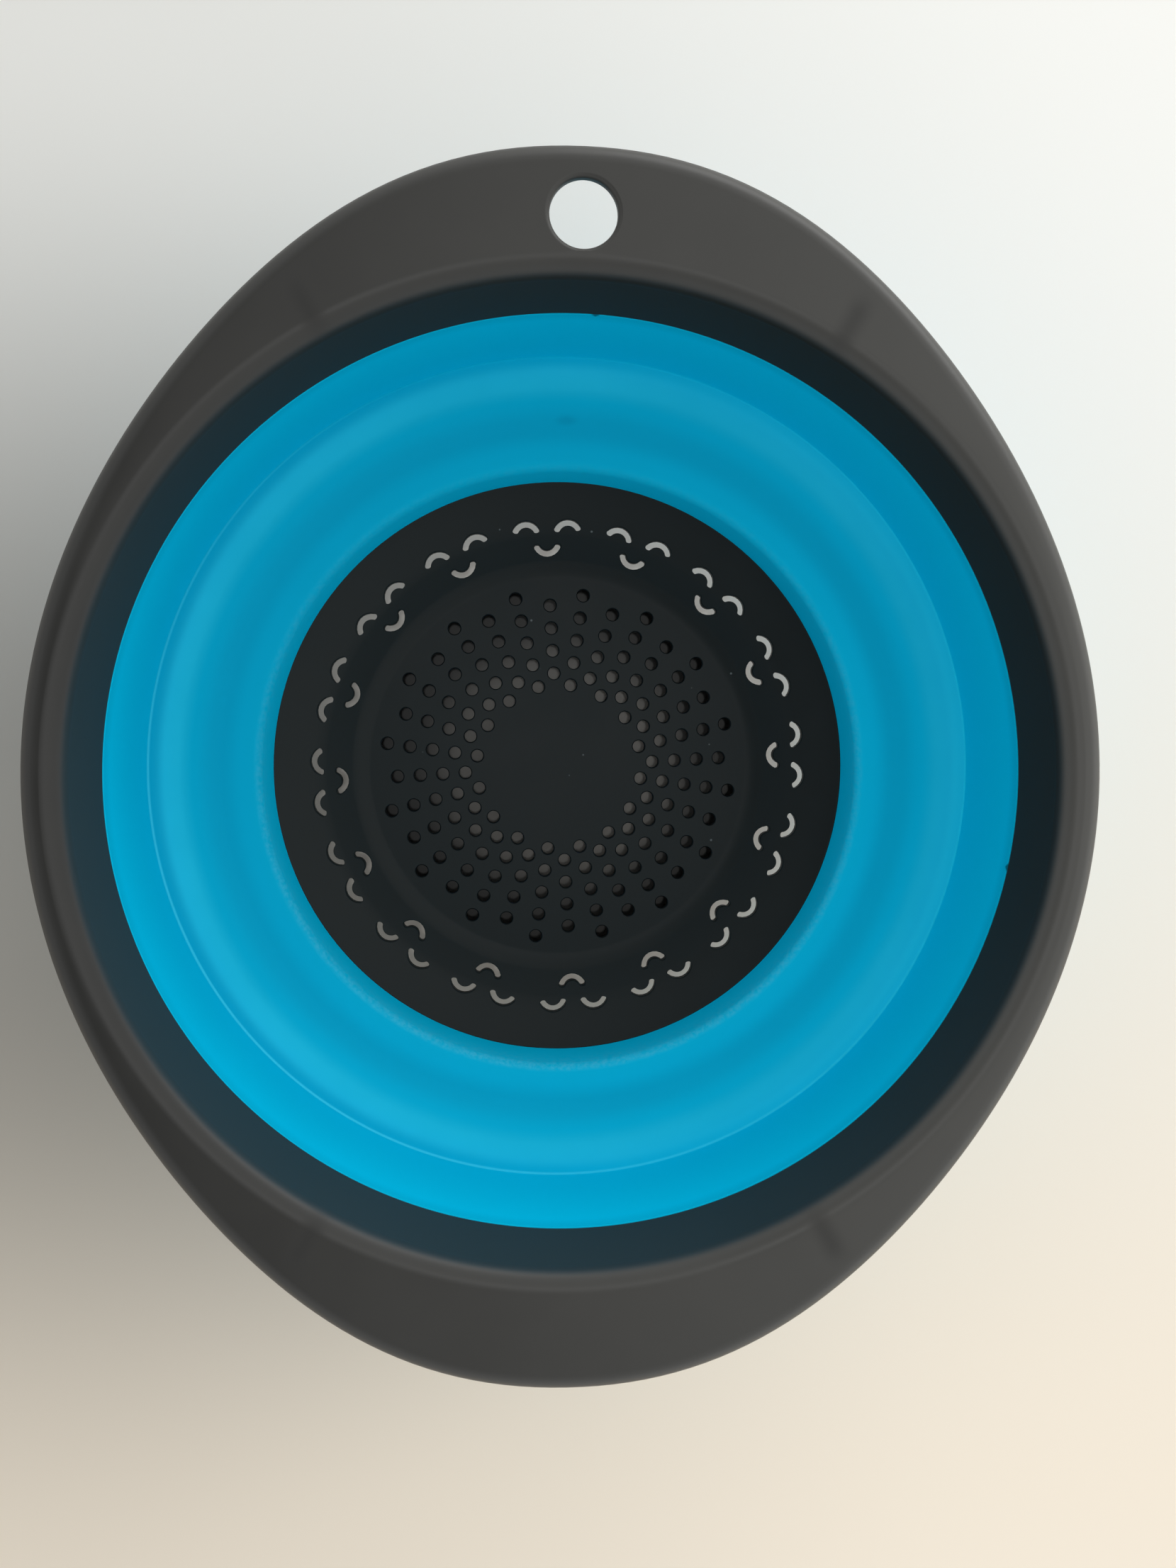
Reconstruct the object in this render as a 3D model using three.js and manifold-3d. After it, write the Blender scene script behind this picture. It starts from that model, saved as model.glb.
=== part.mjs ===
// Collapsible colander, opened out and standing on its feet.
// Millimetres, +Z up. The origin is on the table under the middle of the bowl, and +Y points to the
// handle with the hanging hole.
//
// A hard rim frame and a hard base dish are joined by a soft wall. The wall has a stiff upper ring that
// stays with the rim, a lower cuff that stays with the base, and a thin stepped fold between them that
// turns inside out when the rim is pushed down. The fold is divided into concentric hoops, so that each
// hoop can travel its own share of the way.

import * as THREE from 'three';
import { mergeGeometries, mergeVertices } from 'three/addons/utils/BufferGeometryUtils.js';
import Module from 'manifold-3d';

// Overall
const openHeight = 98; // from the table to the top of the rim, opened out

// Clearances
const bondGap = 0.3; // between soft and hard pieces that are moulded together
const foldGap = 0.3; // between neighbouring hoops of the fold

// Base dish, from the table up and from the middle out
const footHeight = 10; // foot ring, in arcs with notches between them
const footWidth = 3;
const footInset = 2.3; // middle of the foot ring, inside the edge of the flat bottom
const footSpan = 82; // degrees that each arc of the foot ring covers
const footCount = 4;
const dishThickness = 2;
const flatRadius = 57.25; // flat bottom, measured on its upper face
const innerBorderRun = 10.25; // border round the flat bottom, steep at first
const innerBorderRise = 7.2;
const outerBorderRun = 12.17; // and gentler out to its edge
const outerBorderRise = 4.8;
const dishTongueRise = 4.2; // upstand that the lower cuff grips
const dishTongueThickness = 1.2;

// Drain holes in the flat bottom, in staggered rings
const holeDiameter = 3.5;
const holesPerRing = 16;
const firstRingRadius = 24;
const holeRingPitch = 3.26;
const holeEdgeLand = 5.8; // least distance from a ring's middle to the edge of the flat bottom
const wideRingTurn = 7.2; // degrees from the handle, for the first ring and every second one after it
const narrowRingTurn = -4; // degrees from the handle, for the rings between

// Crescent slots in the sloping border, in groups of one inner and two outer
const slotGroups = 16;
const slotGroupTurn = -4; // degrees from the handle
const slotWidth = 1.66;
const slotArcRadius = 3.43;
const slotHalfArc = 57; // degrees
const innerSlotOffset = 4.1; // inner crescent's nearest point, outside the flat bottom
const slotRowPitch = 7.8; // from there to the far point of the outer crescents
const outerSlotSpread = 5.87; // outer crescents, to each side of the group's middle line

// Soft wall
const wallThickness = 1.8;
const cuffLand = 1; // soft material between a groove and the inside of the bowl
const cuffOuterLand = 1.2; // soft material outside a groove
const lipRun = 1.26; // lower cuff's inner face, from the dish up to the lower crease
const lipRise = 13;
const foldRun = 27.02; // fold, from the lower crease to the upper crease
const foldRise = 10;
const shelfRun = 15.27; // nearly level shelf, from the lower crease out to the cove
const shelfRise = 1.8;
const upperTreadRun = 5.75; // tread, from the upper crease in to the nose
const upperTreadRise = 0.7;
const coveRound = 5.6; // length of the rounding, to each side of the cove
const noseRound = 3.9; // length of the rounding, to each side of the nose
const foldHoops = 8;
const ringRun = 1.65; // upper ring, from the upper crease out to the foot of the skirt

// Rim frame
const rimThickness = 2.2;
const skirtRun = 2.6; // skirt, from its foot to the rounded corner under the rim
const skirtDepth = 20; // from the top of the rim to the foot of the skirt
const rimTongueDepth = 5; // edge of the skirt that the upper ring grips
const cornerRadius = 5; // inner corner, from skirt to rim
const rollRadius = 5; // outer edge of the rim
const lipDrop = 8; // outer lip, below the top of the rim
const sideFlat = 0.3; // flat top of the rim at the sides, between the corner and the roll
const handleReach = 18.5; // how much further the handles stand out than the sides
const handleSpread = 33; // degrees from the handle's middle to where half of its reach is left
const handleSharpness = 2.5; // how abruptly the handles leave the round rim
const hangHoleDiameter = 15;
const hangHoleInset = 15.6; // middle of the hole, from the tip of the handle
const ribThickness = 1.6; // webs under the handles
const ribTurn = 30; // degrees from the handle's middle
const ribFootLift = 1; // web's lower edge, above the lip's

// Roundness
const ringSides = 48;
const holeSides = 8;
const hangHoleSides = 24;
const arcSteps = 3;
const slotArcSteps = 4;
const slotEndSteps = 2;
const footArcSteps = 12;

// Heights above the table
const flatUnderZ = footHeight;
const flatTopZ = flatUnderZ + dishThickness;
const dishEdgeZ = flatTopZ + innerBorderRise + outerBorderRise;
const lowerCreaseZ = dishEdgeZ + lipRise;
const upperCreaseZ = lowerCreaseZ + foldRise;
const rimTopZ = openHeight;
const skirtFootZ = rimTopZ - skirtDepth;

// Radii
const dishEdgeRadius = flatRadius + innerBorderRun + outerBorderRun;
const lowerCreaseRadius = dishEdgeRadius + lipRun;
const upperCreaseRadius = lowerCreaseRadius + foldRun;
const skirtFootRadius = upperCreaseRadius + ringRun;
const cornerFootRadius = skirtFootRadius + skirtRun;
const crestRadius = cornerFootRadius + cornerRadius;
const rollStartRadius = crestRadius + sideFlat;
const sideRadius = rollStartRadius + rollRadius;
const handleRadius = sideRadius + handleReach;

// The lower cuff grips the dish's upstand: the groove keeps its land inside the sloping lip
const lipSlope = lipRun / lipRise;
const dishTongueTopZ = dishEdgeZ + dishTongueRise;
const lowerGrooveTopZ = dishTongueTopZ + bondGap;
const lowerGrooveRadius = dishEdgeRadius + lipSlope * (dishTongueRise + bondGap) + cuffLand;
const dishTongueRadius = lowerGrooveRadius + bondGap;
const dishTongueOuterRadius = dishTongueRadius + dishTongueThickness;
const lowerGrooveOuterRadius = dishTongueOuterRadius + bondGap;
const lowerCuffRadius = lowerGrooveOuterRadius + cuffOuterLand;

// The upper ring grips the skirt's thinned edge
const skirtOuterRadius = skirtFootRadius + rimThickness;
const upperGrooveRadius = skirtFootRadius + cuffLand;
const rimTongueRadius = upperGrooveRadius + bondGap;
const rimTongueFootZ = skirtFootZ - rimTongueDepth;
const upperGrooveFootZ = rimTongueFootZ - bondGap;
const upperGrooveOuterRadius = skirtOuterRadius + bondGap;
const upperCuffRadius = upperGrooveOuterRadius + cuffOuterLand;
const upperRingTopZ = skirtFootZ - bondGap;

const wasm = await Module();
wasm.setup();

const rimPlastic = new THREE.MeshStandardMaterial({ color: 0x45443f, roughness: 0.5, metalness: 0 });
const basePlastic = new THREE.MeshStandardMaterial({ color: 0x212426, roughness: 0.45, metalness: 0 });
const softBlue = new THREE.MeshStandardMaterial({ color: 0x0093b8, roughness: 0.65, metalness: 0 });

function point(radius, height) {
  return new THREE.Vector2(radius, height);
}

// Points along an arc, from one angle to another in degrees, both ends included
function arcPoints(centreX, centreY, radius, fromDegrees, toDegrees, steps) {
  const points = [];
  for (let step = 0; step <= steps; step += 1) {
    const angle = THREE.MathUtils.degToRad(fromDegrees + ((toDegrees - fromDegrees) * step) / steps);
    points.push(point(centreX + radius * Math.cos(angle), centreY + radius * Math.sin(angle)));
  }
  return points;
}

// Leaves only positions, joins shared corners and drops the flat triangles at the axis
function weld(geometry) {
  geometry.deleteAttribute('normal');
  geometry.deleteAttribute('uv');
  const welded = mergeVertices(geometry);
  const index = welded.index.array;
  const kept = [];
  for (let corner = 0; corner < index.length; corner += 3) {
    const [a, b, c] = index.slice(corner, corner + 3);
    if (a !== b && b !== c && c !== a) {
      kept.push(a, b, c);
    }
  }
  welded.setIndex(kept);
  return welded;
}

// Turns a section of (radius, height) points round the Z axis
function turned(section) {
  const geometry = new THREE.LatheGeometry([...section, section[0]], ringSides);
  geometry.rotateX(Math.PI / 2);
  return weld(geometry);
}

function upright(outline, fromZ, toZ) {
  const shape = new THREE.Shape(outline);
  const geometry = new THREE.ExtrudeGeometry(shape, { depth: toZ - fromZ, bevelEnabled: false });
  geometry.translate(0, 0, fromZ);
  return weld(geometry);
}

function solid(geometry) {
  const vertProperties = new Float32Array(geometry.attributes.position.array);
  const triVerts = new Uint32Array(geometry.index.array);
  return new wasm.Manifold(new wasm.Mesh({ numProp: 3, vertProperties, triVerts }));
}

function geometryOf(manifold) {
  const mesh = manifold.getMesh();
  const geometry = new THREE.BufferGeometry();
  geometry.setAttribute('position', new THREE.BufferAttribute(new Float32Array(mesh.vertProperties), 3));
  geometry.setIndex(new THREE.BufferAttribute(new Uint32Array(mesh.triVerts), 1));
  return geometry;
}

function named(name, geometry, material) {
  geometry.computeVertexNormals();
  const mesh = new THREE.Mesh(geometry, material);
  mesh.name = name;
  return mesh;
}

// Turns a piece clockwise, seen from above, away from the +Y handle
function turnFromHandle(geometry, degrees) {
  return geometry.rotateZ(-THREE.MathUtils.degToRad(degrees));
}

// Base dish

// The underside of a corner in the dish, where one slope changes to another
function underCorner(corner, slopeBefore, slopeAfter) {
  const facing = (slopeBefore + slopeAfter) / 2;
  const depth = dishThickness / Math.cos((slopeAfter - slopeBefore) / 2);
  return point(corner.x + depth * Math.sin(facing), corner.y - depth * Math.cos(facing));
}

function dishBody() {
  const innerSlope = Math.atan2(innerBorderRise, innerBorderRun);
  const outerSlope = Math.atan2(outerBorderRise, outerBorderRun);
  const flatEdge = point(flatRadius, flatTopZ);
  const borderBend = point(flatRadius + innerBorderRun, flatTopZ + innerBorderRise);
  const bendUnder = underCorner(borderBend, innerSlope, outerSlope);
  const flangeUnderZ = dishEdgeZ - dishThickness;
  const flangeUnderRadius = bendUnder.x + (flangeUnderZ - bendUnder.y) / Math.tan(outerSlope);
  return turned([
    point(0, flatUnderZ),
    underCorner(flatEdge, 0, innerSlope),
    bendUnder,
    point(flangeUnderRadius, flangeUnderZ),
    point(dishTongueOuterRadius, flangeUnderZ),
    point(dishTongueOuterRadius, dishTongueTopZ),
    point(dishTongueRadius, dishTongueTopZ),
    point(dishTongueRadius, dishEdgeZ),
    point(dishEdgeRadius, dishEdgeZ),
    borderBend,
    flatEdge,
    point(0, flatTopZ),
  ]);
}

function foot(number) {
  const middle = flatRadius - footInset;
  const half = footSpan / 2;
  const outline = [
    ...arcPoints(0, 0, middle + footWidth / 2, 90 - half, 90 + half, footArcSteps),
    ...arcPoints(0, 0, middle - footWidth / 2, 90 + half, 90 - half, footArcSteps),
  ];
  const geometry = upright(outline, 0, flatUnderZ + dishThickness / 2);
  return turnFromHandle(geometry, ((number + 0.5) * 360) / footCount);
}

function drainHole(radius, degrees) {
  const height = 2 * dishThickness;
  const geometry = new THREE.CylinderGeometry(holeDiameter / 2, holeDiameter / 2, height, holeSides);
  geometry.rotateX(Math.PI / 2);
  geometry.translate(0, radius, (flatUnderZ + flatTopZ) / 2);
  return turnFromHandle(weld(geometry), degrees);
}

function drainHoles() {
  const cutters = [];
  const outermost = flatRadius - holeEdgeLand;
  let turn = wideRingTurn;
  for (let radius = firstRingRadius; radius <= outermost; radius += holeRingPitch) {
    for (let hole = 0; hole < holesPerRing; hole += 1) {
      cutters.push(drainHole(radius, turn + (hole * 360) / holesPerRing));
    }
    turn = turn === wideRingTurn ? narrowRingTurn : wideRingTurn;
  }
  return cutters;
}

// A crescent bent about a centre on the group's middle line: facing is 1 where it bulges outwards and
// -1 where it bulges towards the middle of the dish
function crescent(sideways, centreRadius, facing, degrees) {
  const axis = facing * 90;
  const from = axis - slotHalfArc;
  const to = axis + slotHalfArc;
  const end = slotWidth / 2;
  const [first] = arcPoints(sideways, centreRadius, slotArcRadius, from, from, 1);
  const [last] = arcPoints(sideways, centreRadius, slotArcRadius, to, to, 1);
  const halfTurn = 180;
  const outline = [
    ...arcPoints(sideways, centreRadius, slotArcRadius + end, from, to, slotArcSteps),
    ...arcPoints(last.x, last.y, end, to, to + halfTurn, slotEndSteps).slice(1, -1),
    ...arcPoints(sideways, centreRadius, slotArcRadius - end, to, from, slotArcSteps),
    ...arcPoints(first.x, first.y, end, from + halfTurn, from + 2 * halfTurn, slotEndSteps).slice(1, -1),
  ];
  return turnFromHandle(upright(outline, 0, dishTongueTopZ), degrees);
}

function crescentSlots() {
  const cutters = [];
  const innerCentre = flatRadius + innerSlotOffset + slotArcRadius;
  const outerCentre = flatRadius + innerSlotOffset + slotRowPitch - slotArcRadius;
  for (let group = 0; group < slotGroups; group += 1) {
    const turn = slotGroupTurn + (group * 360) / slotGroups;
    cutters.push(crescent(0, innerCentre, -1, turn));
    cutters.push(crescent(-outerSlotSpread, outerCentre, 1, turn));
    cutters.push(crescent(outerSlotSpread, outerCentre, 1, turn));
  }
  return cutters;
}

function baseDish() {
  const cutters = solid(mergeGeometries([...drainHoles(), ...crescentSlots()]));
  let dish = solid(dishBody()).subtract(cutters);
  for (let number = 0; number < footCount; number += 1) {
    dish = dish.add(solid(foot(number)));
  }
  return named('base_dish', geometryOf(dish), basePlastic);
}

// Soft wall

// Draws a line towards a corner and a rounding past it, towards the next corner
function roundPast(path, corner, next, round) {
  const before = path.currentPoint.clone().sub(corner).setLength(round).add(corner);
  const after = next.clone().sub(corner).setLength(round).add(corner);
  path.lineTo(before.x, before.y);
  path.quadraticCurveTo(corner.x, corner.y, after.x, after.y);
}

// The inside of the fold, from the upper crease by way of the nose and the cove to the lower crease
function foldPath() {
  const upperCrease = point(upperCreaseRadius, upperCreaseZ);
  const nose = point(upperCreaseRadius - upperTreadRun, upperCreaseZ - upperTreadRise);
  const cove = point(lowerCreaseRadius + shelfRun, lowerCreaseZ + shelfRise);
  const lowerCrease = point(lowerCreaseRadius, lowerCreaseZ);
  const path = new THREE.Path();
  path.moveTo(upperCrease.x, upperCrease.y);
  roundPast(path, nose, cove, noseRound);
  roundPast(path, cove, lowerCrease, coveRound);
  path.lineTo(lowerCrease.x, lowerCrease.y);
  return path;
}

const foldCurve = foldPath();

// How far along the fold, from 0 to 1, it has come in to this radius
function foldShareAt(radius) {
  let low = 0;
  let high = 1;
  const halvings = 40;
  for (let step = 0; step < halvings; step += 1) {
    const middle = (low + high) / 2;
    if (foldCurve.getPoint(middle).x > radius) {
      low = middle;
    } else {
      high = middle;
    }
  }
  return low;
}

// Upper and lower faces of the fold at one radius
function foldFacesAt(radius) {
  const share = foldShareAt(radius);
  const top = foldCurve.getPoint(share).y;
  const run = Math.abs(foldCurve.getTangent(share).x);
  return { top, under: top - wallThickness / run };
}

function upperWallRing() {
  const { under } = foldFacesAt(upperCreaseRadius);
  const edge = upperCreaseRadius + foldGap / 2;
  const section = [
    point(edge, under),
    point(edge + wallThickness, under),
    point(upperGrooveOuterRadius, upperGrooveFootZ - rimTongueDepth),
    point(upperCuffRadius, upperGrooveFootZ),
    point(upperCuffRadius, upperRingTopZ),
    point(upperGrooveOuterRadius, upperRingTopZ),
    point(upperGrooveOuterRadius, upperGrooveFootZ),
    point(upperGrooveRadius, upperGrooveFootZ),
    point(upperGrooveRadius, upperRingTopZ),
    point(skirtFootRadius, upperRingTopZ),
    point(edge, upperCreaseZ),
  ];
  return named('upper_wall_ring', turned(section), softBlue);
}

function foldHoop(number) {
  const lastShare = foldShareAt(lowerCuffRadius);
  const outerEdge = foldCurve.getPoint((lastShare * number) / foldHoops).x - foldGap / 2;
  const innerEdge = foldCurve.getPoint((lastShare * (number + 1)) / foldHoops).x + foldGap / 2;
  const outer = foldFacesAt(outerEdge);
  const inner = foldFacesAt(innerEdge);
  const section = [
    point(innerEdge, inner.under),
    point(outerEdge, outer.under),
    point(outerEdge, outer.top),
    point(innerEdge, inner.top),
  ];
  return named(`fold_hoop_${number + 1}`, turned(section), softBlue);
}

function lowerWallCuff() {
  const edge = lowerCuffRadius - foldGap / 2;
  const section = [
    point(lowerGrooveOuterRadius, dishEdgeZ - dishThickness),
    point(edge, dishEdgeZ - dishThickness),
    point(edge, foldFacesAt(edge).top),
    point(lowerCreaseRadius, lowerCreaseZ),
    point(dishEdgeRadius, dishEdgeZ + bondGap),
    point(lowerGrooveRadius, dishEdgeZ + bondGap),
    point(lowerGrooveRadius, lowerGrooveTopZ),
    point(lowerGrooveOuterRadius, lowerGrooveTopZ),
  ];
  return named('lower_wall_cuff', turned(section), softBlue);
}

// Rim frame

// How far the handle stands out beyond the round rim, at an angle from the +X axis
function reachAt(angle) {
  const half = Math.tan(THREE.MathUtils.degToRad(handleSpread));
  const turn = Math.abs(Math.cos(angle) / Math.sin(angle));
  return handleReach / (1 + (turn / half) ** handleSharpness);
}

// Moves everything outside the crest of the rim out to the outline with the two handles
function drawOutHandles(geometry) {
  const position = geometry.attributes.position;
  const threshold = crestRadius + sideFlat / 2;
  for (let corner = 0; corner < position.count; corner += 1) {
    const x = position.getX(corner);
    const y = position.getY(corner);
    const radius = Math.hypot(x, y);
    if (radius > threshold) {
      const stretch = 1 + reachAt(Math.atan2(y, x)) / radius;
      position.setXY(corner, x * stretch, y * stretch);
    }
  }
  return geometry;
}

function rimShell() {
  const underZ = rimTopZ - rimThickness;
  const lipFootZ = rimTopZ - lipDrop;
  const cornerFootZ = rimTopZ - cornerRadius;
  const rollFootZ = rimTopZ - rollRadius;
  const section = [
    point(skirtOuterRadius, rimTongueFootZ),
    point(skirtOuterRadius, skirtFootZ),
    point(cornerFootRadius + rimThickness, cornerFootZ),
    point(crestRadius, underZ),
    point(rollStartRadius, underZ),
    point(sideRadius - rimThickness, rollFootZ),
    point(sideRadius - rimThickness, lipFootZ),
    point(sideRadius, lipFootZ),
    ...arcPoints(rollStartRadius, rollFootZ, rollRadius, 0, 90, arcSteps),
    ...arcPoints(crestRadius, cornerFootZ, cornerRadius, 90, 180, arcSteps),
    point(skirtFootRadius, skirtFootZ),
    point(rimTongueRadius, skirtFootZ),
    point(rimTongueRadius, rimTongueFootZ),
  ];
  return drawOutHandles(turned(section));
}

// A web under the handle, from the skirt to the outer lip
function rib(degrees) {
  const reach = reachAt(THREE.MathUtils.degToRad(90 - degrees));
  const inset = rimThickness / 2;
  const footZ = rimTopZ - lipDrop + ribFootLift;
  const section = [
    point(cornerFootRadius + inset, footZ),
    point(sideRadius + reach - inset, footZ),
    point(sideRadius + reach - inset, rimTopZ - rollRadius),
    point(rollStartRadius + reach, rimTopZ - inset),
    point(crestRadius, rimTopZ - inset),
    point(cornerFootRadius + inset, rimTopZ - cornerRadius),
  ];
  const geometry = upright(section, -ribThickness / 2, ribThickness / 2);
  geometry.rotateX(Math.PI / 2);
  geometry.rotateZ(Math.PI / 2);
  return turnFromHandle(geometry, degrees);
}

function hangHole() {
  const radius = hangHoleDiameter / 2;
  const geometry = new THREE.CylinderGeometry(radius, radius, 2 * lipDrop, hangHoleSides);
  geometry.rotateX(Math.PI / 2);
  geometry.translate(0, handleRadius - hangHoleInset, rimTopZ);
  return weld(geometry);
}

function rimFrame() {
  let frame = solid(rimShell());
  for (const turn of [-ribTurn, ribTurn, 180 - ribTurn, 180 + ribTurn]) {
    frame = frame.add(solid(rib(turn)));
  }
  return named('rim_frame', geometryOf(frame.subtract(solid(hangHole()))), rimPlastic);
}

const colander = new THREE.Group();
colander.add(baseDish(), lowerWallCuff());
for (let number = 0; number < foldHoops; number += 1) {
  colander.add(foldHoop(number));
}
colander.add(upperWallRing(), rimFrame());

export default colander;
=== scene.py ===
# %% [markdown]
# # A collapsible colander
# The colander has three mouldings: a hard grey rim with two handles, a soft blue wall that folds inside
# out, and a hard dark dish with drain holes. Each is modelled here as one piece, in metres, around a packed
# model that knows which body carries what. The imported model is loaded first, and its parts are hidden
# later, where the finished pieces take their place. The finished pieces have to stay inside it.

# %% Load the imported model
import math

import bmesh
import bpy
from mathutils import Matrix, Quaternion, Vector


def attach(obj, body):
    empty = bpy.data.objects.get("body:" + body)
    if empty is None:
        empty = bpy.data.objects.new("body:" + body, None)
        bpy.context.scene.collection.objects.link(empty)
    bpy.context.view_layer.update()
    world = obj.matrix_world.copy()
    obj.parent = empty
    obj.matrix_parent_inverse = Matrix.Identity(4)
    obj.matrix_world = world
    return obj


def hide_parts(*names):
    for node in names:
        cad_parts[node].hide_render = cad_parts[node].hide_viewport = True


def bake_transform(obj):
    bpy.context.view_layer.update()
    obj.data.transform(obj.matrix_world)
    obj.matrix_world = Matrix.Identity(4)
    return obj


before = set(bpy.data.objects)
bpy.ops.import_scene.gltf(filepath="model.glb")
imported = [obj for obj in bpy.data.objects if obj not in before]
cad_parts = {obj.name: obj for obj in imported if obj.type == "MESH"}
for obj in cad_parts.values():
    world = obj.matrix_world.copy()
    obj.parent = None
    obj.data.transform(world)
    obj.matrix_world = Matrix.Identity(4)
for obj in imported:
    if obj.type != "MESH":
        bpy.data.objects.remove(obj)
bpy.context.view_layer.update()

MM = 0.001

# %% [markdown]
# ## The camera
# The photograph looks almost straight down from a hand's height above the rim, so near things look much
# larger than far ones. A camera fitted to the round edges gives the place and the small tilt. The lens
# follows from the focal length in pixels and the height of the picture.

# %% Camera
PHOTO_HEIGHT = 2212
FOCAL_PIXELS = 1790
CAMERA_PLACE = Vector((-16.24, 19.4, 380.77))
CAMERA_TURN = Vector((-3.781, -3.804, 0.721))  # axis times degrees

camera_data = bpy.data.cameras.new("photo_camera")
camera_data.sensor_fit = "VERTICAL"
camera_data.sensor_height = 36
camera_data.lens = FOCAL_PIXELS / PHOTO_HEIGHT * camera_data.sensor_height
camera = bpy.data.objects.new("photo_camera", camera_data)
camera.location = CAMERA_PLACE * MM
camera_turn = Quaternion(CAMERA_TURN.normalized(), math.radians(CAMERA_TURN.length))
camera.rotation_euler = camera_turn.to_euler()
bpy.context.scene.collection.objects.link(camera)
bpy.context.scene.camera = camera
print("lens", round(camera_data.lens, 2), "mm")

# %% [markdown]
# ## Turning a section
# All three mouldings are round, so each starts as a section, a wire of corners in the XZ plane. A vertex
# bevel rounds the corners while the section is still a wire, which is far cheaper than rounding edges
# afterwards. A full spin then turns the wire round the Z axis, and its doubles are merged.

# %% Section and spin
ROUND_STEPS = 6
TURN_STEPS = 240


def section(corners, closed):
    """A wire of (radius, height, rounding) corners, in millimetres."""
    bm = bmesh.new()
    points = [bm.verts.new((radius * MM, 0, height * MM)) for radius, height, _ in corners]
    ends = points[1:] + points[:1] if closed else points[1:]
    for start, end in zip(points, ends):
        bm.edges.new((start, end))
    for point, (_, _, rounding) in zip(points, corners):
        if rounding:
            bmesh.ops.bevel(
                bm, geom=[point], offset=rounding * MM, affect="VERTICES",
                segments=ROUND_STEPS, profile=0.5, material=-1,
            )
    return bm


def spin_round(bm, steps=TURN_STEPS):
    """Turns the wire all the way round the Z axis."""
    bmesh.ops.spin(
        bm, geom=bm.verts[:] + bm.edges[:], cent=(0, 0, 0), axis=(0, 0, 1),
        angle=math.tau, steps=steps, use_merge=True,
    )
    bmesh.ops.remove_doubles(bm, verts=bm.verts, dist=0.001 * MM)
    bmesh.ops.recalc_face_normals(bm, faces=bm.faces)
    return bm


def as_piece(name, bm):
    """Makes an object of the bmesh, at the origin, with smooth faces."""
    for face in bm.faces:
        face.smooth = True
    mesh = bpy.data.meshes.new(name)
    bm.to_mesh(mesh)
    bm.free()
    piece = bpy.data.objects.new(name, mesh)
    bpy.context.scene.collection.objects.link(piece)
    print(name, "faces", len(mesh.polygons))
    return piece


def cut_out(piece, cutter):
    """Takes the cutter's shape out of the piece, for good."""
    boolean = piece.modifiers.new("cut", "BOOLEAN")
    boolean.operation = "DIFFERENCE"
    boolean.solver = "EXACT"
    boolean.object = cutter
    evaluated = piece.evaluated_get(bpy.context.evaluated_depsgraph_get())
    mesh = bpy.data.meshes.new_from_object(evaluated)
    piece.modifiers.remove(boolean)
    piece.data = mesh
    bpy.data.objects.remove(cutter)
    print(piece.name, "faces after the cut", len(mesh.polygons))


def keep_edges(piece, degrees):
    """Sharpens edges past an angle and lets large flat faces rule the shading."""
    piece.data.set_sharp_from_angle(angle=math.radians(degrees))
    weighted = piece.modifiers.new("weighted_normals", "WEIGHTED_NORMAL")
    weighted.keep_sharp = True


# %% [markdown]
# ## The rim
# The rim is an upright skirt that rolls over into a rounded bead. At the two ends the bead stands further
# out and leaves a flat handle. The section is the one at the sides. After the spin, everything outside the
# crest moves outwards by the handle's reach at its angle, so the flat top stretches and the roll stays.

# %% Rim shell
RIM_TOP = 98.0
RIM_THICKNESS = 2.2
RIM_UNDER = RIM_TOP - RIM_THICKNESS
CORNER_FOOT = 93.0
LIP_FOOT = 90.0
SKIRT_FOOT = 78.0
SKIRT_FOOT_RADIUS = 109.6
SKIRT_TOP_RADIUS = 112.2
CREST_RADIUS = 117.35
LIP_INNER_RADIUS = 120.3
SIDE_RADIUS = 122.48
HANDLE_REACH = 18.5
HANDLE_SPREAD = 33  # degrees to where half of the reach is left
HANDLE_SHARPNESS = 2.5

RIM_SECTION = [
    (SKIRT_FOOT_RADIUS, SKIRT_FOOT, 0.35),
    (SKIRT_TOP_RADIUS, CORNER_FOOT, 0),
    (SKIRT_TOP_RADIUS, RIM_TOP, 4.9),
    (SIDE_RADIUS, RIM_TOP, 5.0),
    (SIDE_RADIUS, LIP_FOOT, 0.8),
    (LIP_INNER_RADIUS, LIP_FOOT, 0.8),
    (LIP_INNER_RADIUS, RIM_UNDER, 2.5),
    (SKIRT_TOP_RADIUS + RIM_THICKNESS, RIM_UNDER, 2.4),
    (SKIRT_TOP_RADIUS + RIM_THICKNESS, CORNER_FOOT, 0),
    (SKIRT_FOOT_RADIUS + RIM_THICKNESS, SKIRT_FOOT, 0.35),
]


def handle_reach(direction):
    """How far the handle stands out beyond the round rim, in metres."""
    half = math.tan(math.radians(HANDLE_SPREAD))
    slant = abs(direction.x) / max(abs(direction.y), 1e-9)
    return HANDLE_REACH * MM / (1 + (slant / half) ** HANDLE_SHARPNESS)


rim_bm = spin_round(section(RIM_SECTION, closed=True))
for vert in rim_bm.verts:
    radius = vert.co.xy.length
    if radius > CREST_RADIUS * MM:
        vert.co.xy *= 1 + handle_reach(vert.co) / radius
print("rim outline", max(vert.co.x for vert in rim_bm.verts), max(vert.co.y for vert in rim_bm.verts))

# %% [markdown]
# Four thin webs stand under the handles, between the skirt and the outer lip. Each is a cube that is
# scaled, moved out along Y and turned about the Z axis. Their ends are buried in the walls.

# %% Webs under the handles
WEB_TURN = 30  # degrees from the handle's middle
WEB_LENGTH = 17.4
WEB_MIDDLE = 122.2
WEB_HEIGHT = 5.0
WEB_FOOT = 91.0
WEB_THICKNESS = 1.6

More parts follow.
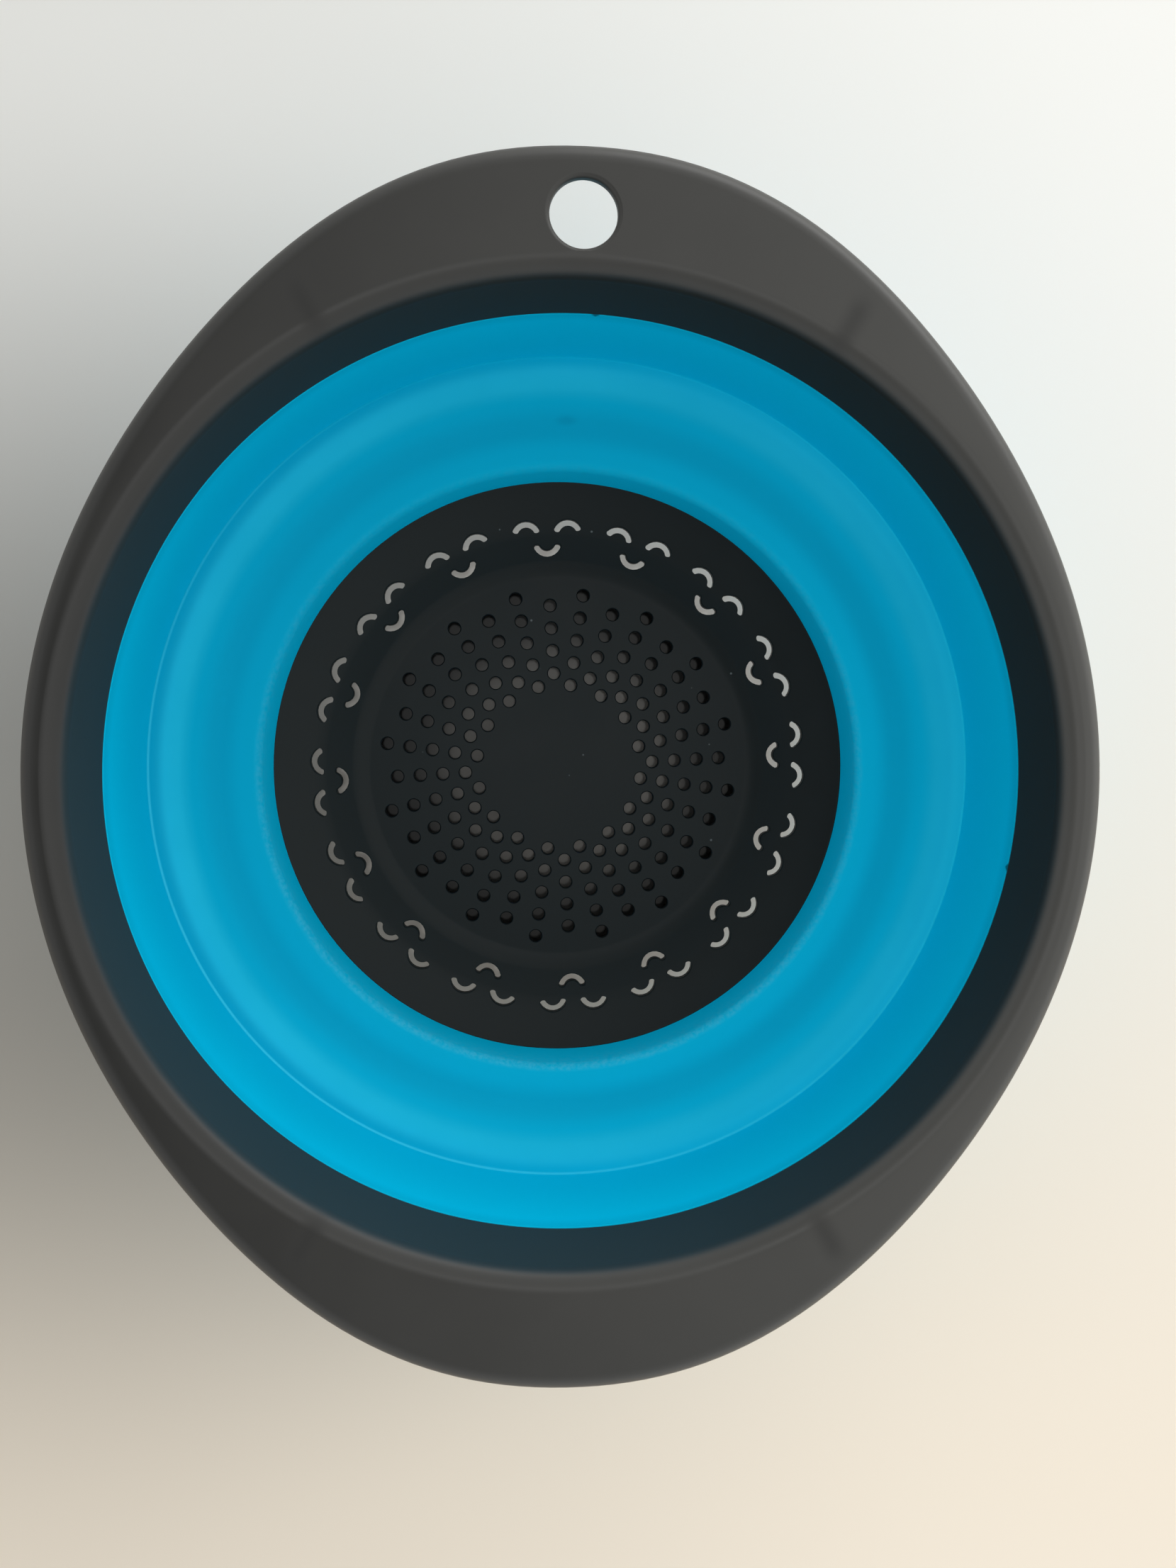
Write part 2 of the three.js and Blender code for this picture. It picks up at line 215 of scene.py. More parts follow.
for degrees in (WEB_TURN, -WEB_TURN, 180 - WEB_TURN, 180 + WEB_TURN):
    size = Matrix.Diagonal((WEB_THICKNESS * MM, WEB_LENGTH * MM, WEB_HEIGHT * MM, 1))
    outwards = Matrix.Translation((0, WEB_MIDDLE * MM, (WEB_FOOT + WEB_HEIGHT / 2) * MM))
    swing = Matrix.Rotation(math.radians(degrees), 4, "Z")
    bmesh.ops.create_cube(rim_bm, size=1, matrix=swing @ outwards @ size)
rim = as_piece("rim", rim_bm)

# %% [markdown]
# The hanging hole has a rounded edge. The cutter is turned from a section whose top corner is rounded
# outwards, so the cut leaves that rounding on the rim. It stands a hair above the flat top, because two
# faces in one plane confuse a Boolean.

# %% Hanging hole
HANG_HOLE_RADIUS = 7.5
HANG_HOLE_MIDDLE = 125.4
HANG_HOLE_ROUNDING = 1.3
HANG_HOLE_STEPS = 64
HANG_HOLE_CLEARANCE = 0.03
HANG_HOLE_FLARE = 3

hole_top = RIM_TOP + HANG_HOLE_CLEARANCE
hole_section = [
    (0, LIP_FOOT, 0),
    (HANG_HOLE_RADIUS, LIP_FOOT, 0),
    (HANG_HOLE_RADIUS, hole_top, HANG_HOLE_ROUNDING),
    (HANG_HOLE_RADIUS + HANG_HOLE_FLARE, hole_top, 0),
    (HANG_HOLE_RADIUS + HANG_HOLE_FLARE, hole_top + HANG_HOLE_FLARE, 0),
    (0, hole_top + HANG_HOLE_FLARE, 0),
]
hole_bm = spin_round(section(hole_section, closed=False), HANG_HOLE_STEPS)
bmesh.ops.translate(hole_bm, verts=hole_bm.verts, vec=(0, HANG_HOLE_MIDDLE * MM, 0))
cut_out(rim, as_piece("hole_cutter", hole_bm))
keep_edges(rim, degrees=40)
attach(rim, "rim")
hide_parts("rim_frame")

# %% [markdown]
# ## The soft wall
# The wall is one blue moulding: a steep upper ring, a crease, a tread that rolls over a nose and down into a
# cove, a shelf, a second crease and a short lip round the dish. When the colander is pushed flat, the part
# between the creases turns inside out. A closed shell would turn its two faces past each other, so only the
# inside is modelled, as an open sheet, and a live Solidify gives it its thickness in every pose.

# %% Wall sheet
UPPER_CREASE = (107.95, 47.0)
LOWER_CREASE = (80.93, 37.0)
WALL_TOP = 77.7
CUFF_FOOT = 71.0
LIP_BULGE = 34.0
WALL_THICKNESS = 1.8
CUFF_THICKNESS = 3.6
LIP_THICKNESS = 3.2

WALL_SECTION = [
    (SKIRT_FOOT_RADIUS, WALL_TOP, 0),
    (109.28, 71.8, 0),
    (108.95, 65.6, 0),
    (108.4, 55.0, 0),
    (*UPPER_CREASE, 0.5),
    (102.2, 46.3, 3.9),
    (96.2, 38.8, 5.6),
    (88.0, 37.84, 0),
    (84.2, 37.39, 0),
    (*LOWER_CREASE, 2.2),
    (80.6, 33.6, 0),
    (79.7, 24.35, 0),
]

wall_bm = spin_round(section(WALL_SECTION, closed=False))
top_face = max(wall_bm.faces, key=lambda face: face.calc_center_median().z)
if top_face.normal.dot(top_face.calc_center_median()) > 0:
    bmesh.ops.reverse_faces(wall_bm, faces=wall_bm.faces)
rest_layer = wall_bm.verts.layers.float_vector.new("rest")
for vert in wall_bm.verts:
    vert[rest_layer] = vert.co
wall = as_piece("wall", wall_bm)

# %% [markdown]
# A vertex group scales the thickness: full where the wall grips the skirt at the top and the dish at the
# bottom, and thin in between. The Bevel rounds the two cut edges that Solidify leaves.

# %% Wall thickness
CUT_EDGE_ROUNDING = 0.35
CUT_EDGE_ANGLE = 60  # degrees

group = wall.vertex_groups.new(name="thickness")
for vert in wall.data.vertices:
    height = vert.co.z / MM
    thickness = WALL_THICKNESS
    if height > CUFF_FOOT:
        thickness = CUFF_THICKNESS
    elif height < LIP_BULGE:
        thickness = LIP_THICKNESS
    group.add([vert.index], thickness / CUFF_THICKNESS, "REPLACE")
solidify = wall.modifiers.new("thickness", "SOLIDIFY")
solidify.thickness = CUFF_THICKNESS * MM
solidify.offset = -1
solidify.vertex_group = group.name
solidify.thickness_vertex_group = 0
solidify.use_even_offset = True
edge_bevel = wall.modifiers.new("cut_edges", "BEVEL")
edge_bevel.width = CUT_EDGE_ROUNDING * MM
edge_bevel.segments = 2
edge_bevel.limit_method = "ANGLE"
edge_bevel.angle_limit = math.radians(CUT_EDGE_ANGLE)
edge_bevel.harden_normals = True
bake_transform(wall)
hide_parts("upper_wall_ring", "lower_wall_cuff", *(f"fold_hoop_{number}" for number in range(1, 9)))
print("wall thickness", WALL_THICKNESS, "to", CUFF_THICKNESS, "mm")

# %% [markdown]
# ## The dish
# The dish has a flat bottom, a border that rises steeply and then gently, and a flange that the soft lip
# grips. It stands on a foot ring with four notches, which is hidden from above. Both are spun: the dish all
# the way, an arc of the ring only part of the way, with its two open ends filled afterwards.

# %% Dish and feet
FLAT_TOP = 12.0
FLAT_RADIUS = 57.25
BEND = (67.5, 19.2)
DISH_EDGE = (79.67, 24.0)
DISH_THICKNESS = 2.0
FLANGE_RADIUS = 82.3
FLANGE_FOOT = DISH_EDGE[1] - DISH_THICKNESS
FLAT_FOOT = FLAT_TOP - DISH_THICKNESS
FOOT_COUNT = 4
FOOT_SPAN = 82  # degrees
FOOT_STEPS = 40
FOOT_INNER_RADIUS = 53.45
FOOT_OUTER_RADIUS = 56.45
FOOT_TOP = FLAT_TOP - DISH_THICKNESS / 2  # buried in the flat bottom

DISH_SECTION = [
    (0, FLAT_TOP, 0),
    (FLAT_RADIUS, FLAT_TOP, 3.0),
    (*BEND, 2.0),
    (*DISH_EDGE, 0.3),
    (FLANGE_RADIUS, DISH_EDGE[1], 0.3),
    (FLANGE_RADIUS, FLANGE_FOOT, 0.3),
    (80.05, FLANGE_FOOT, 1.0),
    (68.455, 17.427, 2.0),
    (57.88, FLAT_FOOT, 3.0),
    (0, FLAT_FOOT, 0),
]
FOOT_SECTION = [
    (FOOT_INNER_RADIUS, 0, 0.6),
    (FOOT_OUTER_RADIUS, 0, 0.6),
    (FOOT_OUTER_RADIUS, FOOT_TOP, 0),
    (FOOT_INNER_RADIUS, FOOT_TOP, 0),
]

dish = as_piece("dish", spin_round(section(DISH_SECTION, closed=False)))
feet_bm = bmesh.new()
for number in range(FOOT_COUNT):
    foot_bm = section(FOOT_SECTION, closed=True)
    start = math.radians((number + 0.5) * 360 / FOOT_COUNT - FOOT_SPAN / 2)
    bmesh.ops.rotate(foot_bm, verts=foot_bm.verts, cent=(0, 0, 0), matrix=Matrix.Rotation(start, 3, "Z"))
    bmesh.ops.spin(
        foot_bm, geom=foot_bm.verts[:] + foot_bm.edges[:], cent=(0, 0, 0), axis=(0, 0, 1),
        angle=math.radians(FOOT_SPAN), steps=FOOT_STEPS,
    )
    bmesh.ops.holes_fill(foot_bm, edges=[edge for edge in foot_bm.edges if edge.is_boundary], sides=0)
    bmesh.ops.recalc_face_normals(foot_bm, faces=foot_bm.faces)
    mesh = bpy.data.meshes.new("foot")
    foot_bm.to_mesh(mesh)
    foot_bm.free()
    feet_bm.from_mesh(mesh)
    bpy.data.meshes.remove(mesh)

# %% [markdown]
# ## The drain holes
# The flat bottom has nine staggered rings of round holes, and the border has groups of three crescent
# slots. Both kinds of cutter begin as one flat face. It is extruded a little, inset for the small chamfer
# round each opening, and extruded through the dish. The cutters are made on a flat plane and then lifted to
# the height of the dish under each vertex, so that the chamfer follows the slope.

# %% Cutters
HOLE_DIAMETER = 3.5
HOLES_PER_RING = 16
FIRST_RING = 24.0
RING_PITCH = 3.26
RINGS = 9
WIDE_RING_TURN = 7.2  # degrees from the handle, clockwise seen from above
NARROW_RING_TURN = -4
HOLE_SEGMENTS = 20
HOLE_CHAMFER = 0.26

SLOT_WIDTH = 1.66
SLOT_ARC_RADIUS = 3.43
SLOT_HALF_ARC = 57
SLOT_STEPS = 10
SLOT_CHAMFER = 0.22
INNER_SLOT_APEX = 61.35
OUTER_SLOT_APEX = 69.15
OUTER_SLOT_SPREAD = 5.87
SLOT_END_SHARE = 0.97  # of half the width, a hair less so that the roundings don't meet
SLOT_END_STEPS = 5
CUTTER_ABOVE = 0.5
CUTTER_DEPTH = 7


def dish_height(radius):
    """Height of the dish's upper face, in metres."""
    if radius < FLAT_RADIUS * MM:
        return FLAT_TOP * MM
    inner, outer = (FLAT_RADIUS, FLAT_TOP), BEND
    if radius > BEND[0] * MM:
        inner, outer = BEND, DISH_EDGE
    return (inner[1] + (radius / MM - inner[0]) * (outer[1] - inner[1]) / (outer[0] - inner[0])) * MM


def through_cutter(bm, face, chamfer):
    """Makes a cutter of a flat face that points down at a height of zero."""
    bmesh.ops.translate(bm, verts=face.verts, vec=(0, 0, CUTTER_ABOVE * MM))
    grown = bmesh.ops.extrude_face_region(bm, geom=[face], use_keep_orig=True)["geom"]
    lower = next(item for item in grown if isinstance(item, bmesh.types.BMFace))
    bmesh.ops.translate(bm, verts=lower.verts, vec=(0, 0, -CUTTER_ABOVE * MM))
    bmesh.ops.inset_region(bm, faces=[lower], thickness=chamfer * MM, use_even_offset=True)
    bmesh.ops.translate(bm, verts=lower.verts, vec=(0, 0, -chamfer * MM))
    grown = bmesh.ops.extrude_face_region(bm, geom=[lower])["geom"]
    bottom = [item for item in grown if isinstance(item, bmesh.types.BMVert)]
    if lower.is_valid:
        bmesh.ops.delete(bm, geom=[lower], context="FACES_ONLY")
    bmesh.ops.translate(bm, verts=bottom, vec=(0, 0, -CUTTER_DEPTH * MM))
    bmesh.ops.recalc_face_normals(bm, faces=bm.faces)
    return bm


def round_hole():
    """The cutter of one drain hole, at the origin."""
    bm = bmesh.new()
    radius = (HOLE_DIAMETER / 2 + HOLE_CHAMFER) * MM
    circle = bmesh.ops.create_circle(bm, cap_ends=True, radius=radius, segments=HOLE_SEGMENTS)
    return through_cutter(bm, circle["verts"][0].link_faces[0], HOLE_CHAMFER)


def crescent():
    """The cutter of one crescent slot, with its arc's middle at the origin, bulging towards +Y."""
    bm = bmesh.new()
    half = SLOT_WIDTH / 2 + SLOT_CHAMFER
    inner = bm.verts.new((0, (SLOT_ARC_RADIUS - half) * MM, 0))
    outer = bm.verts.new((0, (SLOT_ARC_RADIUS + half) * MM, 0))
    across = bm.edges.new((inner, outer))
    arc = math.radians(SLOT_HALF_ARC) + half / SLOT_ARC_RADIUS
    bmesh.ops.rotate(bm, verts=bm.verts, cent=(0, 0, 0), matrix=Matrix.Rotation(-arc, 3, "Z"))
    bmesh.ops.spin(
        bm, geom=[inner, outer, across], cent=(0, 0, 0), axis=(0, 0, 1), angle=2 * arc, steps=SLOT_STEPS,
    )
    ends = [vert for vert in bm.verts if len(vert.link_edges) == 2]
    bmesh.ops.bevel(
        bm, geom=ends, offset=SLOT_END_SHARE * half * MM, affect="VERTICES",
        segments=SLOT_END_STEPS, profile=0.5, material=-1,
    )
    flat = bmesh.ops.dissolve_faces(bm, faces=bm.faces[:])["region"][0]
    return through_cutter(bm, flat, SLOT_CHAMFER)


print("holes of", HOLE_DIAMETER, "mm and slots of", SLOT_WIDTH, "mm")

# %% [markdown]
# Copies of the two cutters are turned round the Z axis into rings and joined, so the dish needs only one
# Boolean. The feet join the dish's mesh after the cut.

# %% Place the cutters and cut the dish
def as_mesh(bm):
    mesh = bpy.data.meshes.new("cutter")
    bm.to_mesh(mesh)
    bm.free()
    return mesh


def add_cutter(cutters, mesh, sideways, outwards, facing, degrees):
    """Adds a copy of a cutter, turned clockwise from the handle."""
    first = len(cutters.verts)
    cutters.from_mesh(mesh)
    cutters.verts.ensure_lookup_table()
    verts = cutters.verts[first:]
    move = Matrix.Translation((sideways * MM, outwards * MM, 0))
    swing = Matrix.Rotation(math.radians(-degrees), 4, "Z")
    bmesh.ops.transform(cutters, verts=verts, matrix=swing @ move @ Matrix.Rotation(facing, 4, "Z"))
    for vert in verts:
        vert.co.z += dish_height(vert.co.xy.length)


cutters = bmesh.new()
hole_mesh = as_mesh(round_hole())
for ring in range(RINGS):
    first_turn = NARROW_RING_TURN if ring % 2 else WIDE_RING_TURN
    for number in range(HOLES_PER_RING):
        degrees = first_turn + number * 360 / HOLES_PER_RING
        add_cutter(cutters, hole_mesh, 0, FIRST_RING + ring * RING_PITCH, 0, degrees)
slot_mesh = as_mesh(crescent())
for number in range(HOLES_PER_RING):
    degrees = NARROW_RING_TURN + number * 360 / HOLES_PER_RING
    add_cutter(cutters, slot_mesh, 0, INNER_SLOT_APEX + SLOT_ARC_RADIUS, math.pi, degrees)
    for side in (-OUTER_SLOT_SPREAD, OUTER_SLOT_SPREAD):
        add_cutter(cutters, slot_mesh, side, OUTER_SLOT_APEX - SLOT_ARC_RADIUS, 0, degrees)
cut_out(dish, as_piece("drain_cutter", cutters))
dish_bm = bmesh.new()
dish_bm.from_mesh(dish.data)
feet_mesh = as_mesh(feet_bm)
dish_bm.from_mesh(feet_mesh)
for face in dish_bm.faces:
    face.smooth = True
dish_bm.to_mesh(dish.data)
dish_bm.free()
keep_edges(dish, degrees=30)
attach(dish, "base")
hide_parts("base_dish")
print("drain openings", RINGS * HOLES_PER_RING, "holes and", 3 * HOLES_PER_RING, "slots")

# %% [markdown]
# ## Writing shaders as sums
# The finishes need masks such as "near this crease" or "on this side". A small class wraps a socket, so that
# `1 - mask` adds a Math node, and one method adds any other node with its settings and its inputs.

# %% Shader helpers
class Wire:
    """A node's output that can be used in expressions."""

    def __init__(self, nodes, socket):
        self.nodes = nodes
        self.socket = socket

    def math(self, operation, first, second=0.0):
        return self.nodes.node("Math", {"operation": operation}, {0: first, 1: second})

    def __add__(self, other):
        return self.math("ADD", self, other)

    __radd__ = __add__

    def __sub__(self, other):
        return self.math("SUBTRACT", self, other)

    def __rsub__(self, other):
        return self.math("SUBTRACT", other, self)

    def __mul__(self, other):
        return self.math("MULTIPLY", self, other)

    __rmul__ = __mul__

    def __truediv__(self, other):
        return self.math("DIVIDE", self, other)

    def __pow__(self, other):
        return self.math("POWER", self, other)

    def __abs__(self):
        return self.math("ABSOLUTE", self)


class Nodes:
    """The nodes of one material or world."""

    def __init__(self, owner):
        owner.use_nodes = True
        self.owner = owner
        self.tree = owner.node_tree
        self.tree.nodes.clear()

    def node(self, kind, settings=None, inputs=None, output=0):
        node = self.tree.nodes.new("ShaderNode" + kind)
        for name, value in (settings or {}).items():
            setattr(node, name, value)
        for name, value in (inputs or {}).items():
            if isinstance(value, Wire):
                self.tree.links.new(value.socket, node.inputs[name])
            else:
                node.inputs[name].default_value = value
        return Wire(self, node.outputs[output]) if node.outputs else None

    def fade(self, value, near, far):
        """1 where the value is below near, 0 above far, smooth between."""
        inputs = {"Value": value, "From Min": near, "From Max": far, "To Min": 1.0, "To Max": 0.0}
        return self.node("MapRange", {"interpolation_type": "SMOOTHSTEP"}, inputs)

    def noise(self, place, scale, detail=2.0, roughness=0.5):
        inputs = {"Vector": place, "Scale": scale, "Detail": detail, "Roughness": roughness}
        return self.node("TexNoise", {}, inputs)

    def mix(self, factor, first, second):
        return self.node("Mix", {"data_type": "RGBA"}, {0: factor, 6: first, 7: second}, output=2)

    def bump(self, height, strength, distance):
        return self.node("Bump", {}, {"Height": height, "Strength": strength, "Distance": distance})

    def cover(self, piece, inputs):
        """Makes a plastic surface of the inputs and gives it to the piece."""
        shader = self.node("BsdfPrincipled", {}, inputs)
        self.node("OutputMaterial", {}, {"Surface": shader})
        piece.data.materials.clear()
        piece.data.materials.append(self.owner)
        print(self.owner.name, "nodes", len(self.tree.nodes))


def round_place(nodes, place):
    """Radius and height in millimetres, and the direction's x and y, from a position in metres."""
    x = nodes.node("SeparateXYZ", {}, {0: place}, output=0)
    y = nodes.node("SeparateXYZ", {}, {0: place}, output=1)
    z = nodes.node("SeparateXYZ", {}, {0: place}, output=2)
    radius = (x * x + y * y) ** 0.5
    return radius * 1000, z * 1000, x / radius, y / radius


# %% [markdown]
# ## Grey rim plastic
# The rim is moulded polypropylene with a fine spark-eroded grain and faint dark smudges where the webs
# meet the top. Its tone by side is painted light and shade, lighter on the right than on the left, and the
# skirt's bluish tint beside the wall is a painted reflection of the blue wall. One picture can't tell light
# from colour, and the lamps here give only part of it, so the tone by side and the tint of the skirt are
# painted after the photograph.

# %% Rim finish
# The rim's tone runs from painted shade on the left to painted light on the right, and the skirt's blue is a
# painted reflection of the wall.
RIM_SHADE_SIDE = (0.0082, 0.0081, 0.0073, 1)
RIM_LIT_SIDE = (0.0512, 0.0505, 0.0462, 1)
SKIRT_GREY = (0.013, 0.0125, 0.010, 1)
SKIRT_REFLECTION_BLUE = (0.0177, 0.034, 0.042, 1)
SMUDGE = (0.006, 0.006, 0.006, 1)

rim_nodes = Nodes(bpy.data.materials.new("grey_rim"))
place_on_rim = rim_nodes.node("TexCoord", {}, {}, output=3)
grain = rim_nodes.noise(place_on_rim, scale=2600, detail=3, roughness=0.6)
cloud = rim_nodes.noise(place_on_rim, scale=28, detail=3, roughness=0.55)
rim_radius, _, rim_x, rim_y = round_place(rim_nodes, place_on_rim)
beside_web = abs(abs(rim_x) - math.sin(math.radians(WEB_TURN)))
over_web = rim_nodes.fade(abs(rim_radius - 120), 2, 9) * rim_nodes.fade(1 - abs(rim_y), 0.3, 0.5)
web_smudge = rim_nodes.fade(beside_web, 0.0, 0.03) * over_web
# Painted light and shade by side, lighter towards +X, with a random tone from the cloud.
rim_light_by_side_and_tone = 0.5 + 0.42 * rim_x + 0.25 * (cloud - 0.5)
tone = rim_nodes.mix(rim_light_by_side_and_tone, RIM_SHADE_SIDE, RIM_LIT_SIDE)
# Painted reflection: the skirt takes a blue tint from the wall, more on some sides than on others.
skirt_reflection_side = 0.5 - 0.28 * rim_x - 0.4 * rim_y
skirt_tone_and_reflection = rim_nodes.mix(skirt_reflection_side, SKIRT_GREY, SKIRT_REFLECTION_BLUE)
tone = rim_nodes.mix(rim_nodes.fade(rim_radius, 112.3, 113.6), tone, skirt_tone_and_reflection)
tone = rim_nodes.mix(web_smudge * 0.35, tone, SMUDGE)
rim_nodes.cover(rim, {
    "Base Color": tone,
    "Roughness": 0.38 + 0.10 * cloud + 0.2 * web_smudge,
    "Specular IOR Level": 0.36,
    "Normal": rim_nodes.bump(grain, strength=0.25, distance=0.02 * MM),
})

# %% [markdown]
# ## Dark dish plastic
# The dish is the same plastic in a darker colour, a little smoother, with a few pale specks of dust. The
# chamfers and walls of the round holes carry painted shade, darker where little light comes back out.
# They are found by their height, just below the flat bottom.

# %% Dish finish
DISH_DARK = (0.0062, 0.0094, 0.0096, 1)
DISH_LIGHT = (0.0092, 0.0132, 0.0134, 1)
DUST = (0.25, 0.27, 0.27, 1)
# Painted shade for the chamfers and walls of the round holes.
HOLE_SHADE = (0.001, 0.0012, 0.0012, 1)

dish_nodes = Nodes(bpy.data.materials.new("dark_dish"))
place_on_dish = dish_nodes.node("TexCoord", {}, {}, output=3)
dish_grain = dish_nodes.noise(place_on_dish, scale=2600, detail=3, roughness=0.6)
dish_cloud = dish_nodes.noise(place_on_dish, scale=45, detail=4, roughness=0.6)
dust_place = dish_nodes.node("TexVoronoi", {}, {"Vector": place_on_dish, "Scale": 90.0})
dust = dish_nodes.fade(dust_place, 0.02, 0.035)
dish_tone = dish_nodes.mix(dish_cloud, DISH_DARK, DISH_LIGHT)
dish_tone = dish_nodes.mix(dust * 0.4, dish_tone, DUST)
dish_radius, height_in_dish, _, _ = round_place(dish_nodes, place_on_dish)
on_flat = dish_nodes.fade(dish_radius, FLAT_RADIUS - 5, FLAT_RADIUS - 3.5)
# Painted shade in the round holes, found by height just below the flat bottom.
hole_shade = on_flat * dish_nodes.fade(height_in_dish, FLAT_TOP - 0.1, FLAT_TOP - 0.02)
dish_tone = dish_nodes.mix(hole_shade * 0.8, dish_tone, HOLE_SHADE)
dish_nodes.cover(dish, {
    "Base Color": dish_tone,
    "Roughness": 0.38 + 0.15 * dish_cloud,
    "Specular IOR Level": 0.15,
    "Normal": dish_nodes.bump(dish_grain, strength=0.25, distance=0.02 * MM),
})

# %% [markdown]
# ## Blue elastomer
# The wall is a matt blue elastomer. The pattern reads the sheet's place at rest from an attribute, so it
# stays on the surface when the wall folds. Masks by height and radius pick out the upper ring, the tread,
# the two creases, the cove and the lip.

# %% Wall masks
wall_nodes = Nodes(bpy.data.materials.new("soft_blue"))
rest = wall_nodes.node("Attribute", {"attribute_name": "rest"}, {}, output=1)
wall_radius, wall_height, wall_x, wall_y = round_place(wall_nodes, rest)
wall_cloud = wall_nodes.noise(rest, scale=30, detail=3, roughness=0.55)
wall_grain = wall_nodes.noise(rest, scale=1800, detail=3, roughness=0.6)
scuff_noise = wall_nodes.noise(rest, scale=900, detail=3, roughness=0.6)
below_ring = wall_nodes.fade(wall_height, UPPER_CREASE[1] + 0.2, UPPER_CREASE[1] + 0.6)
tread_sheen = below_ring * wall_nodes.fade(abs(wall_radius - 102.5), 1.5, 5) * (0.6 + 0.8 * wall_cloud)
crease_light_and_shade = below_ring * wall_nodes.fade(UPPER_CREASE[0] - wall_radius, 2, 4.5)
crease_highlight = below_ring * wall_nodes.fade(UPPER_CREASE[0] - wall_radius, 0.25, 0.7)
cove_shade = below_ring * wall_nodes.fade(abs(wall_radius - 92), 1, 6.5) * (0.7 + 0.6 * wall_cloud)
shade_under_rim = wall_nodes.fade(WALL_TOP - wall_height, 0.5, 5)
lip_light = wall_nodes.fade(wall_height, LIP_BULGE, LOWER_CREASE[1] - 0.5)
near_lower = wall_nodes.fade(abs(wall_radius - LOWER_CREASE[0] - 0.5), 0.2, 1.6)
scuff = near_lower * wall_nodes.fade(1 - scuff_noise, 0.2, 0.75) * (0.5 - 0.35 * wall_y)
print("wall masks, nodes so far", len(wall_nodes.tree.nodes))

# %% [markdown]
# The tones by side, and those of the upper ring, the tread, the upper crease, the cove, the lip and the top
# edge, are painted light and shade, which the lamps give only in part. A painted highlight runs along the
# upper crease, a pale line along the lower one, and each is stronger on some sides than on others.

# %% Wall tones
# Copies of the blue for painted light and shade, a painted sheen and a painted highlight; the cove's dark
# blue also colours the small mark.
SHADED_SIDE_BLUE = (0.0, 0.375, 0.585, 1)
LIT_SIDE_BLUE = (0.0, 0.49, 0.75, 1)
LIT_RING_BLUE = (0.0, 0.62, 0.93, 1)
SHADE_BLUE = (0.0, 0.26, 0.43, 1)
TREAD_SHEEN_BLUE = (0.04, 0.66, 0.87, 1)
LIT_CREASE_BLUE = (0.02, 0.66, 0.87, 1)
HIGHLIGHT_BLUE = (0.06, 0.66, 0.87, 1)
COVE_SHADE_AND_MARK_BLUE = (0.0, 0.24, 0.40, 1)
SCUFF_BLUE = (0.20, 0.60, 0.76, 1)

# Painted light by side: lighter towards +X and a little towards -Y, with a random tone.
wall_light_by_side_and_tone = 0.5 + 0.5 * wall_x - 0.14 * wall_y + 0.25 * (wall_cloud - 0.5)
blue = wall_nodes.mix(wall_light_by_side_and_tone, SHADED_SIDE_BLUE, LIT_SIDE_BLUE)
# Painted light: the upper ring and the lip are lighter.
blue = wall_nodes.mix((1 - below_ring) * 0.35 + lip_light * 0.65, blue, LIT_RING_BLUE)
# Painted shade under the rim, along the top edge of the wall.
blue = wall_nodes.mix(shade_under_rim * 0.3, blue, SHADE_BLUE)
# Painted sheen on the tread.
blue = wall_nodes.mix(tread_sheen * 0.24, blue, TREAD_SHEEN_BLUE)
# Painted light near the upper crease on the +X side, and painted shade there on the -X side.
blue = wall_nodes.mix(crease_light_and_shade * wall_x * 0.5, blue, LIT_CREASE_BLUE)
blue = wall_nodes.mix(crease_light_and_shade * wall_x * -0.35, blue, SHADE_BLUE)
# Painted highlight along the upper crease, stronger on some sides than on others.
highlight_side = 0.14 - 0.2 * wall_x - 0.25 * wall_y
blue = wall_nodes.mix(crease_highlight * highlight_side, blue, HIGHLIGHT_BLUE)
# Painted shade in the cove.
blue = wall_nodes.mix(cove_shade * 0.3, blue, COVE_SHADE_AND_MARK_BLUE)
blue = wall_nodes.mix(scuff * 0.28, blue, SCUFF_BLUE)
print("wall tones, nodes so far", len(wall_nodes.tree.nodes))

# %% [markdown]
# A small mark at the far end of the cove and two dark nicks at the upper edge belong to the inside alone.
# Solidify copies the attribute to the outside too, so these marks stop where the real radius departs from
# the one in the attribute. The folding only moves the wall up and down, so that holds in every pose.

# %% Wall marks and finish
NICK_TURNS = (2.2, 100.5)  # degrees clockwise from the handle
MARK_PLACE = (-0.5, 93.5)
NICK_BLUE = (0.0, 0.05, 0.08, 1)

face_radius, _, _, _ = round_place(wall_nodes, wall_nodes.node("TexCoord", {}, {}, output=3))
on_inside = wall_nodes.fade(face_radius - wall_radius, 0.5, 1.0)
mark_x = wall_radius * wall_x - MARK_PLACE[0]
mark_y = wall_radius * wall_y - MARK_PLACE[1]
mark = wall_nodes.fade((0.2 * mark_x ** 2 + mark_y ** 2) ** 0.5, 0.3, 1.8) * below_ring * on_inside
blue = wall_nodes.mix(mark * 0.35, blue, COVE_SHADE_AND_MARK_BLUE)
for degrees in NICK_TURNS:
    nick_x, nick_y = math.sin(math.radians(degrees)), math.cos(math.radians(degrees))
    along = wall_radius * ((wall_x - nick_x) ** 2 + (wall_y - nick_y) ** 2) ** 0.5
    nick = wall_nodes.fade(along + abs(wall_height - WALL_TOP), 0.4, 1.3)
    blue = wall_nodes.mix(nick * on_inside * 0.8, blue, NICK_BLUE)
wall_nodes.cover(wall, {
    "Base Color": blue,
    "Roughness": 0.55 + 0.15 * wall_grain,
    "Specular IOR Level": 0.04,
    "Normal": wall_nodes.bump(wall_grain + scuff_noise * near_lower * 4, strength=0.2, distance=0.03 * MM),
})

